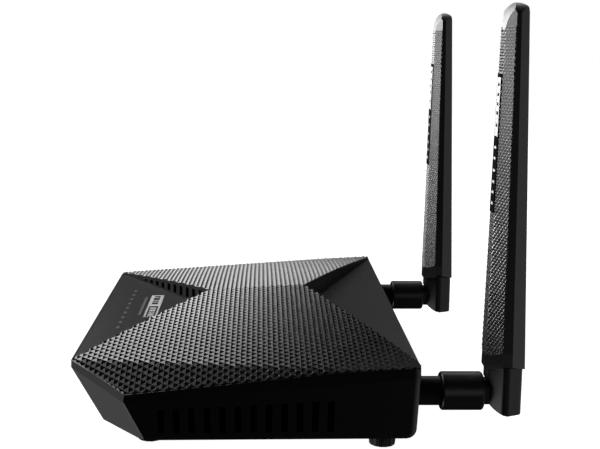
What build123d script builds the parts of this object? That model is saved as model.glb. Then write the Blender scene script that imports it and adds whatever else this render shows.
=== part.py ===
"""Desktop wireless router: a faceted two-shell housing with two blade antennas.

Millimetres. +X is the router's right, -Y its front, +Z up. While the pieces are modelled, Y = 0 is
the middle of the housing's depth and Z = 0 is the table. Before export everything moves along Y so
that the origin is the middle of the whole object's footprint.
"""
from build123d import *
import math
import os

os.makedirs("parts", exist_ok=True)

# ---------------------------------------------------------------- housing
HALF_WIDTH = 95.5            # at the seam between the shells
FRONT_Y = -64.5
REAR_Y = 65.0
FLOOR_Z = 6.2                # underside of the housing, held up by the feet
WALL = 2.2
COVER_WALL = 2.0
TIP = (73.2, FRONT_Y)        # front corner in plan
SHOULDER = (HALF_WIDTH, -41.9)
TIP_SEAM_Z = 28.6            # height of the seam at the front, the shoulder and the rear
SHOULDER_SEAM_Z = 22.5
REAR_SEAM_Z = 31.5
REAR_LEAN = 0.4              # how far the rear wall leans in at its foot
BAND_LEAN = 0.15             # how far the cover's edge band leans in, per millimetre of height
REAR_CORNER_R = 2.6          # upright corners at the rear, and the other corners between walls
CORNER_R = 0.8
BASE_REAR_R = 4.0            # lower edge of the rear wall

# The cover's crown: ridge height at Y = 0, fall away from the ridge, and rise towards the rear.
RIDGE_Z = 41.15
CROWN_SLOPE = 0.058
CROWN_CURVE = 0.00043
CROWN_RISE = 0.0515
FRONT_APEX_Y = -15.5         # where the front and rear recesses meet the ridge
REAR_APEX_Y = 26.5
REAR_RECESS_X = 92.2
FRONT_RECESS_Z = 31.2        # recess floors at the front and the rear edge, and their slopes
FRONT_RECESS_SLOPE = 0.021
REAR_RECESS_Z = 34.9
REAR_RECESS_SLOPE = 0.03
SHOULDER_TOP_Z = 25.1        # top edge of the cover at the shoulder
CREASE_END = (HALF_WIDTH - 0.8, 40.7)

# ---------------------------------------------------------------- vents
SIDE_VENTS = 12
SIDE_VENT_PITCH = 5.6
SIDE_VENT_FIRST_Y = -28.8
SIDE_VENT_WIDTH = 2.4
SIDE_VENT_BOTTOM_Z = 10.0
SIDE_VENT_TOP_Z = 19.4
SIDE_VENT_RISE = 3.1         # how much taller the last slot is than the first
STEP_VENTS = 10
STEP_VENT_PITCH = 5.9
STEP_VENT_WIDTH = 2.6
STEP_VENT_START = 0.30       # first slot, as a fraction of the step's length from the tip
FLOOR_VENTS = 9
FLOOR_VENT_PITCH = 6.0
FLOOR_VENT_FIRST_Y = -30.0
FLOOR_VENT_WIDTH = 2.2
FLOOR_VENT_X = (8.0, 38.0)

# ---------------------------------------------------------------- inside
BOARD_Z = 11.5
BOARD_THICK = 1.6
BOARD_TOP = BOARD_Z + BOARD_THICK
BOARD_HALF = [(68, 60.6), (68, -38), (56, -52.8)]    # half plan of the board, rear to front
POST_PLACES = [(80, 36), (-80, 36), (80, -22), (-80, -22)]
POST_R = 3.2                 # cover's screw posts, their pilot holes and where they meet the floor
POST_BORE_R = 1.5
POST_FOOT_Z = 11.0
WELL_R = 4.6                 # screw wells in the floor below the posts
WELL_BORE_R = 3.0
WELL_TOP_Z = 8.5
SCREW_HOLE_R = 1.6
STANDOFF_PLACES = [(62, 42), (-62, 42), (60, -30), (-60, -30)]
STANDOFF_R = 3.2
STANDOFF_BORE_R = 1.2
# Parts on the board: place in plan, width, depth and height.
PROCESSOR = (0, -2, 15, 15, 1.3)
THERMAL_PAD_THICK = 0.9
RADIO_CHIP = (-38, -20, 9, 9, 0.9)
MEMORY_CHIP = (30, -6, 10, 13, 1.1)
SHIELD_CAN = (-38, -20, 34, 24, 3.0)
SHIELD_WALL = 0.3
TRANSFORMER_Y = 33.5
TRANSFORMER_SIZE = (14, 8, 5.5)
LED_SIZE = (1.6, 0.9, 0.8)
LED_SET_BACK = 1.2           # how far the indicators stand behind their windows
CAPACITORS = [(50, 36, 4, 9), (60, 30, 3.2, 8), (44, -24, 3.2, 7)]    # place, radius and height
HEAT_SINK_Y = (-20, 16)
HEAT_SINK_HALF = 20
HEAT_SINK_BASE = 2.0
HEAT_SINK_FINS = 9
HEAT_SINK_PITCH = 4.75
HEAT_SINK_FIN = (2.0, 9.0)   # thickness and top
JACK_SIZE = (16.0, 21.4, 13.3)
JACK_REAR_Y = 63.4
JACK_MOUTH = (12.0, 4.2, 11.8)       # width, bottom and top above the board
JACK_LATCH = (6.4, 1.6, 4.4)
JACK_DEEP = 14.0
CONTACT_COUNT = 8
CONTACT_PITCH = 1.02
CONTACT_WIRE = 0.42
CONTACT_LENGTH = 9.0
WAN_X = 30.0
LAN_X = [8.0, -8.6, -25.2, -41.8]
POWER_X = 50.0
POWER_AXIS_Z = BOARD_TOP + 5.5
POWER_BARREL_R = 3.8
POWER_BORE_R = 3.15
POWER_PIN_R = 1.05
BUTTON_X = -57.0
BUTTON_Z = 20.0
BUTTON_R = 2.0
BUTTON_TRAVEL = 0.8
RUNNING = 0.06               # radial clearance of a running fit

# ---------------------------------------------------------------- indicator panel
LED_COUNT = 9
LED_PITCH = 7.85
LED_ROW_X = -2.5
LED_ROW_Y = -52.8
LED_WINDOW = (3.0, 1.3)
PANEL_THICK = 1.6
BADGE_SIZE = (38.0, 5.8)
BADGE_PLACE = (-5.0, -41.0)
STRIP_SIZE = (32.0, 1.2)
STRIP_Y = -46.0
PRINT_THICK = 0.15

# ---------------------------------------------------------------- antennas
AXIS_X = 73.8                # connector axis, on each side
AXIS_Z = 19.45
BOSS_R = 5.5
BOSS_END_Y = 75.1
SMA_SEAT_Y = 61.0            # flat inside the rear wall for the washer and nut
SLEEVE_R = 7.3
SLEEVE_Y = (75.3, 91.2)
FOLD_Y = 99.2                # the fold pin's axis, square to the connector axis
NECK_R = 5.2
NECK_HALF = 4.5              # half thickness of the neck's tongue
PIN_R = 1.5
KNUCKLE_HALF = 8.5
KNUCKLE_BOTTOM_Z = 12.2
KNUCKLE_CORNER_R = 2.2       # upright corners of the knuckle's column
# Half plan of the knuckle's column: front corner, the two ends of its side, rear corner.
KNUCKLE_PLAN = [(3.6, 92.2), (KNUCKLE_HALF, 97.5), (KNUCKLE_HALF, 99.5), (6.1, 105.0)]
KNUCKLE_FRONT = (92.0, 17.4)         # where the column's rounded front foot starts
KNUCKLE_REAR = (105.2, 13.4)         # where its rear foot starts to round
PIN_REACH = KNUCKLE_HALF - 1.3
BAND_Z = (29.3, 34.4)        # smooth band between knuckle and blade, at its middle
BLADE_Z = (BAND_Z[1], 163.4)
BLADE_WALL = 1.4
FOOT_ARC_R = 27.0            # from the front, the band's edges are arcs that rise to both sides
SPIGOT = 7.0                 # how far the knuckle's spigot reaches up into the blade
TIP_NOSE_R = 15.7            # blade tip from the side: curved nose and its height, rear corner
TIP_NOSE_RISE = 9.9
TIP_REAR_R = 3.2
TIP_ARCH_R = 13.3            # blade tip from the front: a shallow arch, and how high it rises
TIP_ARCH_RISE = 3.9
# Blade outline, half of it, at two heights: front strip, side corner, rear side corner, back.
LOW_Z, LOW = 34.0, [(3.5, 91.5), (13.5, 95.6), (13.0, 99.2), (8.0, 105.0)]
HIGH_Z, HIGH = 155.0, [(3.0, 93.9), (9.5, 96.2), (9.2, 98.0), (6.0, 101.6)]
NAMEPLATE_Z = (88.2, 138.6)
NAMEPLATE_HALF = 3.0
NAMEPLATE_PROUD = 0.45

# ---------------------------------------------------------------- feet
FOOT_R_TOP = 5.8             # flange against the floor, and the pad below it
FOOT_R_PAD = (5.25, 4.9)
FOOT_PAD_H = 4.2
FOOT_NOTCHES = 14
FOOT_PLACES = {"front_right": (71.5, -34.8), "front_left": (-71.5, -34.8),
               "rear_right": (77.0, 53.4), "rear_left": (-77.0, 53.4)}

nodes = {}


# ---------------------------------------------------------------- helpers
def crown_z(x, y):
    """Height of the cover's crowned surface."""
    return RIDGE_Z - CROWN_SLOPE * abs(x) - CROWN_CURVE * x * x + CROWN_RISE * y


def block(x, y, z):
    """Box from its low and high limits on each axis."""
    size = [b - a for a, b in (x, y, z)]
    middle = [(a + b) / 2 for a, b in (x, y, z)]
    return Pos(*middle) * Box(*size)


def rod(radius, start, end):
    """Cylinder between two points."""
    line = Vector(*end) - Vector(*start)
    plane = Plane(origin=start, z_dir=line)
    return extrude(plane * Circle(radius), line.length)


def plane_through(a, b, c, inset=0.0):
    """Plane through three points, facing away from the housing's middle, moved inward by inset."""
    a, b, c = Vector(*a), Vector(*b), Vector(*c)
    normal = (b - a).cross(c - a).normalized()
    if normal.dot(a - Vector(0, 0, 20)) < 0:
        normal = normal * -1
    return Plane(origin=a - normal * inset, z_dir=normal)


def behind(solid, planes):
    """The part of a solid behind every plane."""
    for plane in planes:
        solid = split(solid, bisect_by=plane, keep=Keep.BOTTOM)
    return solid


def mirrored(point):
    return (-point[0],) + tuple(point[1:])


def prism(points, low, high):
    """Upright prism on a polygon in plan."""
    return extrude(Pos(0, 0, low) * make_face(Polyline(*points, close=True)), high - low)


# ---------------------------------------------------------------- housing envelope
def soften_corners(solid):
    """Rounds the upright edges between the housing's walls, the two rear ones more."""
    tall = 20.0
    for side, radius in ((1, REAR_CORNER_R), (-1, CORNER_R)):
        upright = [e for e in solid.edges() if e.bounding_box().size.Z > tall and side * e.center().Y > 0
                   and e.geom_type == GeomType.LINE]
        solid = fillet(upright, radius)
    return solid


def base_edges(solid):
    return [e for e in solid.edges() if e.bounding_box().max.Z < FLOOR_Z + 0.1]


def soften_shell(solid):
    """Rounds the lower shell: the base's rear edge, the upright corners, then all round the base."""
    rear_edge = max(base_edges(solid), key=lambda e: e.center().Y)
    solid = soften_corners(fillet([rear_edge], BASE_REAR_R))
    return fillet(base_edges(solid), CORNER_R)


def lower_walls(inset):
    """Walls of the lower shell, which lean inward going down."""
    tip = TIP + (TIP_SEAM_Z,)
    shoulder = SHOULDER + (SHOULDER_SEAM_Z,)
    rear = (HALF_WIDTH, REAR_Y, REAR_SEAM_Z)
    front_foot = (70.0, -53.2, FLOOR_Z)
    side_foot = (91.3, 0, FLOOR_Z)
    triples = [(tip, shoulder, front_foot), (shoulder, rear, side_foot)]
    triples += [tuple(mirrored(p) for p in triple) for triple in triples]
    triples.append((tip, mirrored(tip), front_foot))
    triples.append(((0, REAR_Y, 33.5), (10, REAR_Y, 33.5), (0, REAR_Y - REAR_LEAN, FLOOR_Z)))
    return [plane_through(*triple, inset) for triple in triples]


def upper_walls(inset):
    """Walls of the cover's edge band, nearly upright."""
    rise = 10.0
    lean = rise * BAND_LEAN
    tip = TIP + (TIP_SEAM_Z,)
    shoulder = SHOULDER + (SHOULDER_SEAM_Z,)
    rear = (HALF_WIDTH, REAR_Y, REAR_SEAM_Z)
    chamfer_in = (TIP[0] - lean, TIP[1] + lean, TIP_SEAM_Z + rise)
    side_in = (HALF_WIDTH - lean, SHOULDER[1], SHOULDER_SEAM_Z + rise)
    triples = [(tip, shoulder, chamfer_in), (shoulder, rear, side_in)]
    triples += [tuple(mirrored(p) for p in triple) for triple in triples]
    triples.append((tip, mirrored(tip), (0, FRONT_Y, 40)))
    triples.append(((0, REAR_Y, 33), (10, REAR_Y, 33), (0, REAR_Y, 43)))
    return [plane_through(*triple, inset) for triple in triples]


def side_facets(inset):
    """The steep facet between the crown and each shoulder."""
    points = (TIP + (crown_z(*TIP),),
              (HALF_WIDTH - 0.4, SHOULDER[1], SHOULDER_TOP_Z),
              CREASE_END + (crown_z(*CREASE_END),))
    return [plane_through(*points, inset), plane_through(*[mirrored(p) for p in points], inset)]


def under_crown(drop):
    """Solid below the crowned surface: an arched outline pushed along the ridge."""
    start_y = -80.0
    far, middle = 100.0, 50.0
    height = {x: crown_z(x, start_y) - drop for x in (0, middle, far)}
    right = ThreePointArc((0, start_y, height[0]), (middle, start_y, height[middle]),
                          (far, start_y, height[far]))
    left = ThreePointArc((0, start_y, height[0]), (-middle, start_y, height[middle]),
                         (-far, start_y, height[far]))
    skirt = Polyline((far, start_y, height[far]), (far, start_y, -20),
                     (-far, start_y, -20), (-far, start_y, height[far]))
    along = Vector(0, 1, CROWN_RISE).normalized()
    return extrude(make_face([right, left, skirt]), 165.0, dir=along)


def seam_solid(above):
    """Everything above, or below, the seam, which dips at the shoulders."""
    out = 90.0
    front_z = TIP_SEAM_Z + (out + FRONT_Y) * (TIP_SEAM_Z - SHOULDER_SEAM_Z) / (SHOULDER[1] - FRONT_Y)
    rear_z = REAR_SEAM_Z + (out - REAR_Y) * (REAR_SEAM_Z - SHOULDER_SEAM_Z) / (REAR_Y - SHOULDER[1])
    limit = 70.0 if above else -10.0
    outline = Polyline((-110, -out, front_z), (-110, SHOULDER[1], SHOULDER_SEAM_Z),
                       (-110, out, rear_z), (-110, out, limit), (-110, -out, limit), close=True)
    return extrude(make_face(outline), 220.0, dir=(1, 0, 0))


def recess(apex_y, half, edge_y, floor_z, slope, grow, drop):
    """Triangular recess in the crown; grow widens it on plan and drop lowers its floor."""
    outward = 1 if edge_y > apex_y else -1
    depth = abs(edge_y - apex_y)
    apex = apex_y - outward * grow * math.hypot(half, depth) / half
    base = edge_y + outward * 8.0
    side = half * abs(base - apex) / depth
    wedge = prism([(0, apex), (side, base), (-side, base)], 20, 60)
    floor = Plane(origin=(0, edge_y, floor_z - drop), z_dir=(0, -slope, 1))
    return split(wedge, bisect_by=floor, keep=Keep.TOP)


def front_recess(grow, drop):
    return recess(FRONT_APEX_Y, TIP[0], FRONT_Y, FRONT_RECESS_Z, FRONT_RECESS_SLOPE, grow, drop)


def rear_recess(grow, drop):
    return recess(REAR_APEX_Y, REAR_RECESS_X, REAR_Y, REAR_RECESS_Z, REAR_RECESS_SLOPE, grow, drop)


def front_floor_z(y):
    return FRONT_RECESS_Z + FRONT_RECESS_SLOPE * (y - FRONT_Y)


# ---------------------------------------------------------------- top cover
def led_places():
    first = LED_ROW_X - LED_PITCH * (LED_COUNT - 1) / 2
    return [first + LED_PITCH * i for i in range(LED_COUNT)]


def led_slots(clearance, low, high):
    """Row of rounded windows for the indicators."""
    length, width = LED_WINDOW
    slot = SlotOverall(length + 2 * clearance, width + 2 * clearance)
    return [extrude(Pos(x, LED_ROW_Y, low) * slot, high - low) for x in led_places()]


def step_vents():
    """Upright slots through the front recess's two step walls."""
    run_x, run_y = TIP[0], FRONT_APEX_Y - FRONT_Y
    length = math.hypot(run_x, run_y)
    turn = math.degrees(math.atan2(run_y, run_x))
    cutters = []
    for i in range(STEP_VENTS):
        along = length * STEP_VENT_START + STEP_VENT_PITCH * i
        x = TIP[0] - run_x * along / length
        y = FRONT_Y + run_y * along / length
        low = front_floor_z(y) + 0.6
        high = crown_z(x, y) - 1.3
        slot = Box(STEP_VENT_WIDTH, 9.0, high - low)
        for side in (1, -1):
            cutters.append(Pos(side * x, y, (low + high) / 2) * Rot(0, 0, -side * turn) * slot)
    return cutters


def panel_outline(grow):
    """Plan of the indicator panel, inside the front recess."""
    margin = 1.0 - grow
    slope = (FRONT_APEX_Y - FRONT_Y) / TIP[0]
    apex = FRONT_APEX_Y - 0.6 * math.hypot(1, slope) + grow
    half = (apex - FRONT_Y - margin) / slope
    return [(half, FRONT_Y + margin), (0, apex), (-half, FRONT_Y + margin)]


def make_top_cover():
    start = block((-110, 110), (-90, 90), (10, 60))
    outer = behind(soften_corners(behind(start, upper_walls(0))), side_facets(0)) & under_crown(0)
    outer = outer - front_recess(0, 0) - rear_recess(0, 0)
    inner = behind(start, upper_walls(COVER_WALL) + side_facets(COVER_WALL))
    inner = inner & under_crown(COVER_WALL)
    floor_drop = PANEL_THICK + 1.4
    inner = inner - front_recess(COVER_WALL, floor_drop) - rear_recess(COVER_WALL, COVER_WALL)
    cover = (outer - inner) & seam_solid(above=True)
    pocket = prism(panel_outline(0.1), 20, 60)
    floor = Plane(origin=(0, FRONT_Y, FRONT_RECESS_Z - PANEL_THICK), z_dir=(0, -FRONT_RECESS_SLOPE, 1))
    cover = cover - split(pocket, bisect_by=floor, keep=Keep.TOP)
    for cutter in led_slots(0.1, 20, 40) + step_vents():
        cover = cover - cutter
    reach = behind(start, side_facets(1.0) + upper_walls(1.0)) & under_crown(1.0)
    for x, y in POST_PLACES:
        post = rod(POST_R, (x, y, POST_FOOT_Z), (x, y, 45.0)) & reach
        cover = cover + post - rod(POST_BORE_R, (x, y, POST_FOOT_Z - 1), (x, y, POST_FOOT_Z + 10))
    return cover


def make_front_panel():
    plate = prism(panel_outline(0.0), 20, 60)
    top = Plane(origin=(0, FRONT_Y, FRONT_RECESS_Z), z_dir=(0, -FRONT_RECESS_SLOPE, 1))
    bottom = Plane(origin=(0, FRONT_Y, FRONT_RECESS_Z - PANEL_THICK), z_dir=top.z_dir)
    plate = split(plate, bisect_by=top, keep=Keep.BOTTOM)
    plate = split(plate, bisect_by=bottom, keep=Keep.TOP)
    for cutter in led_slots(0.05, 20, 40):
        plate = plate - cutter
    return plate


def printed(outline, place_y):
    """Thin raised print lying on the sloping panel."""
    slab = Plane(origin=(0, place_y, front_floor_z(place_y)), x_dir=(1, 0, 0),
                 z_dir=(0, -FRONT_RECESS_SLOPE, 1))
    return extrude(slab * outline, PRINT_THICK)


def make_badge():
    """Blank badge: one half filled, the other an open frame."""
    length, width = BADGE_SIZE
    x, y = BADGE_PLACE
    opening = Pos(length / 4, 0) * Rectangle(length / 2 - 1.6, width - 1.6)
    return printed(Pos(x, 0) * (Rectangle(length, width) - opening), y)


def make_caption_strip():
    return printed(Pos(BADGE_PLACE[0], 0) * Rectangle(*STRIP_SIZE), STRIP_Y)


def make_light_guide():
    """One clear moulding: a bar with a window pin above and a leg below for each indicator."""
    bar_z = (24.0, 26.0)
    leg_y = LED_ROW_Y + LED_SET_BACK
    places = led_places()
    guide = block((places[0] - 2, places[-1] + 2), (LED_ROW_Y - 1.2, leg_y + 1.0), bar_z)
    for x in places:
        guide = guide + rod(0.9, (x, leg_y, BOARD_TOP + 1.0), (x, leg_y, bar_z[0] + 0.5))
    for pin in led_slots(0, bar_z[1] - 0.5, front_floor_z(LED_ROW_Y)):
        guide = guide + pin
    return guide


# ---------------------------------------------------------------- bottom housing
def make_bottom_housing():
    start = block((-110, 110), (-90, 90), (FLOOR_Z, 60))
    outer = soften_shell(behind(start, lower_walls(0)))
    cavity = block((-110, 110), (-90, 90), (FLOOR_Z + WALL, 60))
    inner = behind(cavity, lower_walls(WALL))
    shell = (outer - inner) & seam_solid(above=False)
    for side in (1, -1):
        x = side * AXIS_X
        shell = shell + rod(BOSS_R, (x, SMA_SEAT_Y, AXIS_Z), (x, BOSS_END_Y, AXIS_Z))
        shell = shell - rod(3.2, (x, 50, AXIS_Z), (x, 80, AXIS_Z))
    for x, y in STANDOFF_PLACES:
        shell = shell + rod(STANDOFF_R, (x, y, FLOOR_Z + 1), (x, y, BOARD_Z))
        shell = shell - rod(STANDOFF_BORE_R, (x, y, FLOOR_Z + WALL), (x, y, BOARD_Z + 1))
    for x, y in POST_PLACES:
        shell = shell + rod(WELL_R, (x, y, FLOOR_Z), (x, y, POST_FOOT_Z))
        shell = shell - rod(WELL_BORE_R, (x, y, FLOOR_Z - 1), (x, y, WELL_TOP_Z))
        shell = shell - rod(SCREW_HOLE_R, (x, y, WELL_TOP_Z - 0.5), (x, y, POST_FOOT_Z + 1))
    for cutter in side_vents() + port_openings() + floor_vents():
        shell = shell - cutter
    return shell


def side_vents():
    """Row of upright slots through both side walls."""
    cutters = []
    for i in range(SIDE_VENTS):
        y = SIDE_VENT_FIRST_Y + SIDE_VENT_PITCH * i
        top = SIDE_VENT_TOP_Z + SIDE_VENT_RISE * i / (SIDE_VENTS - 1)
        half = SIDE_VENT_WIDTH / 2
        for side in (1, -1):
            x = sorted((side * 85.0, side * 100.0))
            cutters.append(block(x, (y - half, y + half), (SIDE_VENT_BOTTOM_Z, top)))
    return cutters


def floor_vents():
    """Two banks of slots under the board."""
    cutters = []
    for i in range(FLOOR_VENTS):
        y = FLOOR_VENT_FIRST_Y + FLOOR_VENT_PITCH * i
        for side in (1, -1):
            x = sorted(side * end for end in FLOOR_VENT_X)
            cutters.append(block(x, (y, y + FLOOR_VENT_WIDTH), (0, FLOOR_Z + WALL + 1)))
    return cutters


def port_openings():
    """Windows in the rear wall for the sockets and the button."""
    width, _, height = JACK_SIZE
    margin = 0.2
    reach = width / 2 + margin
    cutters = []
    for low_x, high_x in ((WAN_X, WAN_X), (min(LAN_X), max(LAN_X))):
        cutters.append(block((low_x - reach, high_x + reach), (58, 68),
                             (BOARD_TOP - margin, BOARD_TOP + height + margin)))
    cutters.append(rod(POWER_BARREL_R + 0.1, (POWER_X, 58, POWER_AXIS_Z), (POWER_X, 68, POWER_AXIS_Z)))
    cutters.append(rod(BUTTON_R + RUNNING, (BUTTON_X, 58, BUTTON_Z), (BUTTON_X, 68, BUTTON_Z)))
    return cutters


# ---------------------------------------------------------------- board and its parts
def make_board():
    board = prism(BOARD_HALF + [mirrored(p) for p in reversed(BOARD_HALF)], BOARD_Z, BOARD_TOP)
    for x, y in STANDOFF_PLACES:
        board = board - rod(1.6, (x, y, 0), (x, y, 20))
    return board


def on_board(x, y, width, depth, height):
    """Block standing on the board, by its middle in plan."""
    return block((x - width / 2, x + width / 2), (y - depth / 2, y + depth / 2),
                 (BOARD_TOP, BOARD_TOP + height))


def make_heat_sink(base_z):
    sink = block((-HEAT_SINK_HALF, HEAT_SINK_HALF), HEAT_SINK_Y, (base_z, base_z + HEAT_SINK_BASE))
    thick, top = HEAT_SINK_FIN
    for i in range(HEAT_SINK_FINS):
        x = HEAT_SINK_PITCH * i - HEAT_SINK_HALF
        sink = sink + block((x, x + thick), HEAT_SINK_Y, (base_z + 1.5, base_z + top))
    return sink


def make_shield_can():
    x, y, width, depth, height = SHIELD_CAN
    hollow = on_board(x, y, width - 2 * SHIELD_WALL, depth - 2 * SHIELD_WALL, height - SHIELD_WALL)
    return on_board(*SHIELD_CAN) - hollow


def make_jack(x):
    """Eight-way modular socket, latch side down."""
    width, depth, height = JACK_SIZE
    body = block((x - width / 2, x + width / 2), (JACK_REAR_Y - depth, JACK_REAR_Y),
                 (BOARD_TOP, BOARD_TOP + height))
    for wide, low, high in (JACK_MOUTH, JACK_LATCH):
        body = body - block((x - wide / 2, x + wide / 2), (JACK_REAR_Y - JACK_DEEP, JACK_REAR_Y + 1),
                            (BOARD_TOP + low, BOARD_TOP + high))
    return body


def jack_contacts(x):
    """Eight spring wires along the roof of a socket."""
    contacts = []
    for i in range(CONTACT_COUNT):
        across = CONTACT_PITCH * (i - (CONTACT_COUNT - 1) / 2)
        place = Pos(x + across, JACK_REAR_Y - 8.5, BOARD_TOP + 10.55)
        contacts.append(place * Rot(10, 0, 0) * Box(CONTACT_WIRE, CONTACT_LENGTH, CONTACT_WIRE))
    return contacts


def make_power_jack():
    rear = JACK_REAR_Y
    half, height = 4.5, 11.0
    body = block((POWER_X - half, POWER_X + half), (rear - 14.0, rear - 3.4),
                 (BOARD_TOP, BOARD_TOP + height))
    body = body + rod(POWER_BARREL_R, (POWER_X, rear - 4, POWER_AXIS_Z), (POWER_X, rear, POWER_AXIS_Z))
    return body - rod(POWER_BORE_R, (POWER_X, rear - 9.5, POWER_AXIS_Z), (POWER_X, rear + 1, POWER_AXIS_Z))


def make_power_pin():
    low, high = JACK_REAR_Y - 9.5, JACK_REAR_Y - 1.0
    return rod(POWER_PIN_R, (POWER_X, low, POWER_AXIS_Z), (POWER_X, high, POWER_AXIS_Z))


def make_tact_switch():
    """Side-pressed switch behind the button, with a bore for its plunger."""
    body = block((BUTTON_X - 3, BUTTON_X + 3), (48.0, 53.0), (BOARD_TOP, BUTTON_Z + 3.5))
    return body - rod(1.2 + RUNNING, (BUTTON_X, 50.0, BUTTON_Z), (BUTTON_X, 54.0, BUTTON_Z))


def make_plunger():
    return rod(1.2, (BUTTON_X, 51.2, BUTTON_Z), (BUTTON_X, 54.5, BUTTON_Z))


def make_reset_button():
    """Round cap with a flange inside the rear wall that stops it falling out."""
    cap = rod(BUTTON_R, (BUTTON_X, 60.0, BUTTON_Z), (BUTTON_X, REAR_Y + 0.4, BUTTON_Z))
    flange = rod(3.0, (BUTTON_X, 59.6, BUTTON_Z), (BUTTON_X, 61.0, BUTTON_Z))
    stem = rod(1.4, (BUTTON_X, 54.5, BUTTON_Z), (BUTTON_X, 60.0, BUTTON_Z))
    return cap + flange + stem


def screw(x, y, head_low, head_r, head_h, shank_r, tip_z, upward):
    """Pan-head screw with a cross recess."""
    head = rod(head_r, (x, y, head_low), (x, y, head_low + head_h))
    middle = head_low + head_h / 2
    open_z = (head_low - 1, middle) if upward else (middle, head_low + head_h + 1)
    for half_x, half_y in ((head_r * 0.6, 0.3), (0.3, head_r * 0.6)):
        head = head - block((x - half_x, x + half_x), (y - half_y, y + half_y), open_z)
    ends = sorted((head_low + head_h if upward else head_low, tip_z))
    return head + rod(shank_r, (x, y, ends[0]), (x, y, ends[1]))


# ---------------------------------------------------------------- feet
def make_foot(x, y):
    """Rubber foot: a flange against the floor and a tapered pad with notches round it."""
    flange = Pos(x, y, (FOOT_PAD_H + FLOOR_Z) / 2) * Cylinder(FOOT_R_TOP, FLOOR_Z - FOOT_PAD_H)
    pad = Pos(x, y, FOOT_PAD_H / 2) * Cone(FOOT_R_PAD[1], FOOT_R_PAD[0], FOOT_PAD_H)
    for i in range(FOOT_NOTCHES):
        angle = 2 * math.pi * i / FOOT_NOTCHES
        groove = (x + FOOT_R_PAD[0] * math.cos(angle), y + FOOT_R_PAD[0] * math.sin(angle))
        pad = pad - rod(0.5, groove + (-1.0,), groove + (FOOT_PAD_H - 0.6,))
    return flange + pad


# ---------------------------------------------------------------- connectors
def make_sma_jack(x):
    """Threaded bulkhead socket: flange against the boss, thread out into the sleeve."""
    flange_y = (BOSS_END_Y, BOSS_END_Y + 1.2)
    jack = rod(3.1, (x, 57.5, AXIS_Z), (x, 85.0, AXIS_Z))
    jack = jack + rod(4.4, (x, flange_y[0], AXIS_Z), (x, flange_y[1], AXIS_Z))
    for i in range(6):
        y = flange_y[1] + 1.0 + 1.2 * i
        ends = (x, y, AXIS_Z), (x, y + 0.5, AXIS_Z)
        jack = jack - (rod(3.1, *ends) - rod(2.85, *ends))
    jack = jack - rod(2.2, (x, 78.0, AXIS_Z), (x, 86.0, AXIS_Z))
    jack = jack + rod(0.6, (x, 77.0, AXIS_Z), (x, 84.0, AXIS_Z))
    return jack + rod(1.7, (x, 54.0, AXIS_Z), (x, 58.5, AXIS_Z))


def make_sma_nut(x):
    plane = Plane(origin=(x, SMA_SEAT_Y - 2.6, AXIS_Z), z_dir=(0, 1, 0))
    return extrude(plane * (RegularPolygon(4.0, 6, major_radius=False) - Circle(3.1)), 2.1)


def make_sma_washer(x):
    plane = Plane(origin=(x, SMA_SEAT_Y - 0.5, AXIS_Z), z_dir=(0, 1, 0))
    return extrude(plane * (Circle(4.6) - Circle(3.15)), 0.5)


def make_pigtail(side):
    """Thin coaxial lead from the bulkhead socket to its clip on the board."""
    x = side * AXIS_X
    end_x = side * 50.0
    points = [(x, 54.0, AXIS_Z), (x, 40.0, AXIS_Z), (side * 64.0, 24.0, AXIS_Z - 1.0),
              (end_x, 14.0, 18.0), (end_x, 4.0, BOARD_TOP + 1.9), (end_x, -1.0, BOARD_TOP + 1.9)]
    path = FilletPolyline(*points, radius=[9.0, 9.0, 7.0, 7.0])
    start = Plane(origin=points[0], z_dir=(0, -1, 0))
    lead = sweep(start * Circle(0.65), path=path)
    clip = block((end_x - 1.5, end_x + 1.5), (-4.0, -1.0), (BOARD_TOP, BOARD_TOP + 2.6))
    return lead + clip


# ---------------------------------------------------------------- antennas
def make_sleeve(x):
    """Coupling sleeve that screws onto the socket and holds the neck's collar."""
    low, high = SLEEVE_Y
    sleeve = rod(SLEEVE_R, (x, low, AXIS_Z), (x, high, AXIS_Z))
    sleeve = fillet(sleeve.edges().filter_by(GeomType.CIRCLE), 0.9)
    sleeve = sleeve - rod(4.6, (x, low - 1, AXIS_Z), (x, BOSS_END_Y + 1.5, AXIS_Z))
    sleeve = sleeve - rod(3.2, (x, low, AXIS_Z), (x, 85.6, AXIS_Z))
    sleeve = sleeve - rod(4.5 + RUNNING, (x, 85.6, AXIS_Z), (x, 87.8, AXIS_Z))
    return sleeve - rod(2.5 + RUNNING, (x, 87.0, AXIS_Z), (x, high + 1, AXIS_Z))


def make_neck(x):
    """Swivel neck: collar inside the sleeve, round neck, and a tongue round the fold pin."""
    neck = rod(NECK_R, (x, 91.5, AXIS_Z), (x, FOLD_Y, AXIS_Z))
    neck = neck + rod(NECK_R - 0.1, (x - NECK_HALF, FOLD_Y, AXIS_Z), (x + NECK_HALF, FOLD_Y, AXIS_Z))
    neck = neck & block((x - NECK_HALF, x + NECK_HALF), (80, 120), (0, 40))
    neck = neck + rod(2.5, (x, 87.0, AXIS_Z), (x, 92.0, AXIS_Z))
    neck = neck + rod(4.5, (x, 85.8, AXIS_Z), (x, 87.6, AXIS_Z))
    return neck - rod(PIN_R + RUNNING, (x - 9, FOLD_Y, AXIS_Z), (x + 9, FOLD_Y, AXIS_Z))


def make_fold_pin(x):
    return rod(PIN_R, (x - PIN_REACH, FOLD_Y, AXIS_Z), (x + PIN_REACH, FOLD_Y, AXIS_Z))


def outline_at(z):
    """Half outline of the blade at a height, between its two given sections."""
    t = (z - LOW_Z) / (HIGH_Z - LOW_Z)
    return [(a[0] + (b[0] - a[0]) * t, a[1] + (b[1] - a[1]) * t) for a, b in zip(LOW, HIGH)]


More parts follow.
